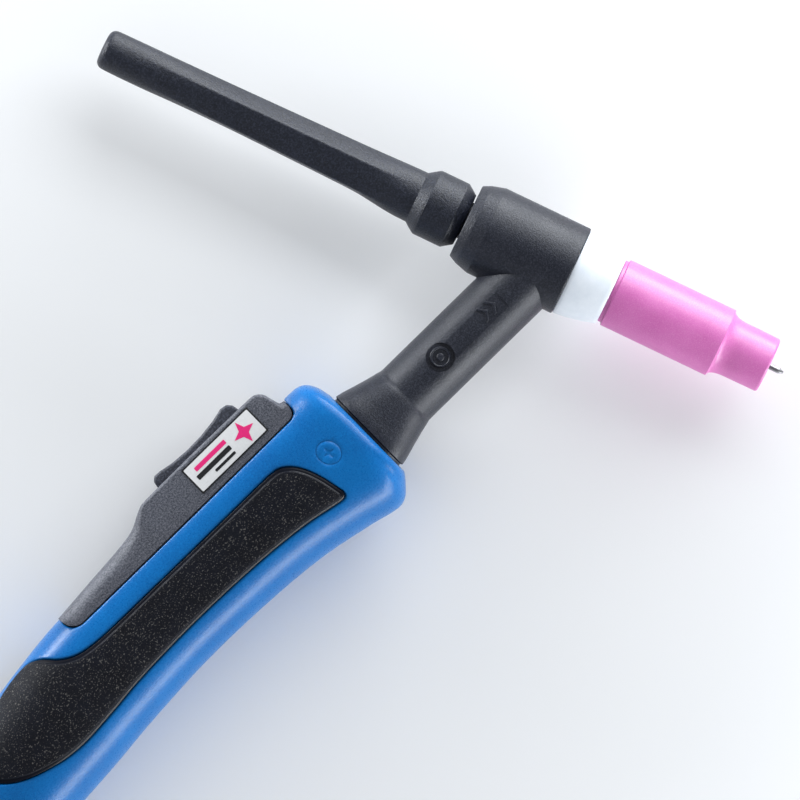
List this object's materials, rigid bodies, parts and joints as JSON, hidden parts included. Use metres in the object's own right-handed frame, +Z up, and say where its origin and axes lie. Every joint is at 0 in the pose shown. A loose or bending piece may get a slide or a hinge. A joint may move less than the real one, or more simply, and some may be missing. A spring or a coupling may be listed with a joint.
{
  "type": "tig torch",
  "caption": "Hand-held TIG welding torch with angled head, long back cap, ceramic nozzle, contoured two-part handle, soft grip pads and a rocker switch module.",
  "frame": {"origin": "on the surface the torch lies on, under the middle of the torch's box", "axes": "+X along the handle towards the head, +Y towards the switch side, +Z up through the torch's flat symmetry plane, out of its left side"},
  "size_m": [0.2616, 0.1833, 0.0336],
  "materials": {
    "head_rubber": "matt moulded rubber",
    "blue_plastic": "satin blue plastic",
    "grip_rubber": "grained soft rubber",
    "grey_plastic": "fine-grained grey plastic",
    "black_plastic": "satin black plastic",
    "pink_ceramic": "fired pink ceramic, unglazed",
    "white_ptfe": "smooth white PTFE",
    "brass": "turned",
    "copper": "turned copper",
    "tungsten": "ground tungsten",
    "label": "printed sticker",
    "steel": "zinc-plated",
    "board": "circuit board"
  },
  "bodies": {
    "torch": {"head_insulation": "head_rubber", "torch_body_core": "brass", "insulator_ring": "white_ptfe", "collet_body": "copper", "collet": "copper", "gas_tube": "copper", "water_supply_tube": "copper", "power_return_tube": "copper", "gas_nipple": "brass", "water_supply_nipple": "brass", "power_return_nipple": "brass", "handle_shell_left": "blue_plastic", "handle_shell_right": "blue_plastic", "grip_pad_left": "grip_rubber", "grip_pad_right": "grip_rubber", "switch_module_housing": "grey_plastic", "switch_carrier": "grey_plastic", "label_plate_left": "label", "label_plate_right": "label", "switch_board": "board", "control_connector": "label", "microswitch_front": "black_plastic", "microswitch_rear": "black_plastic", "rocker_pin": "steel", "handle_screw_front": "steel", "handle_screw_middle": "steel", "handle_screw_rear": "steel", "rear_collar": "grip_rubber"},
    "gas_nozzle": {"gas_nozzle": "pink_ceramic"},
    "electrode": {"tungsten_electrode": "tungsten"},
    "cap_seal": {"cap_o_ring": "grip_rubber"},
    "back_cap": {"back_cap": "black_plastic"},
    "rocker": {"rocker_button": "black_plastic"},
    "plunger_front": {"switch_plunger_front": "label"},
    "plunger_rear": {"switch_plunger_rear": "label"},
    "swivel": {"swivel_ball": "black_plastic"}
  },
  "joints": [
    {"name": "nozzle_pull", "type": "slide", "parent": "torch", "child": "gas_nozzle", "axis": [0.342, -0.9397, 0], "range_m": [0, 0.05]},
    {"name": "electrode_slide", "type": "slide", "parent": "torch", "child": "electrode", "axis": [0.342, -0.9397, 0], "range_m": [-0.01, 0.02]},
    {"name": "cap_travel", "type": "slide", "parent": "torch", "child": "cap_seal", "axis": [-0.342, 0.9397, 0], "range_m": [0, 0.01]},
    {"name": "cap_turn", "type": "hinge", "parent": "cap_seal", "child": "back_cap", "pos_m": [0.1022, -0.0277, 0.0168], "axis": [-0.342, 0.9397, 0], "range_deg": [0, 2882]},
    {"name": "rocker_tilt", "type": "hinge", "parent": "torch", "child": "rocker", "pos_m": [0.0043, -0.0049, 0.0168], "axis": [0, 0, 1], "range_deg": [-3.5, 3.5], "stiffness_Nm_per_rad": 0.4},
    {"name": "front_plunger_press", "type": "slide", "parent": "torch", "child": "plunger_front", "axis": [0, 1, 0], "range_m": [-0.0006, 0.0006]},
    {"name": "rear_plunger_press", "type": "slide", "parent": "torch", "child": "plunger_rear", "axis": [0, 1, 0], "range_m": [-0.0006, 0.0006]},
    {"name": "inlet_swivel", "type": "hinge", "parent": "torch", "child": "swivel", "pos_m": [-0.1078, -0.0322, 0.0168], "axis": [0, 0, 1], "range_deg": [-12, 12]}
  ],
  "couplings": [
    {"joint": "cap_turn", "follows": "cap_travel", "rad_per_m": 5026.5},
    {"joint": "front_plunger_press", "follows": "rocker_tilt", "m_per_rad": 0.009},
    {"joint": "rear_plunger_press", "follows": "rocker_tilt", "m_per_rad": -0.009}
  ]
}
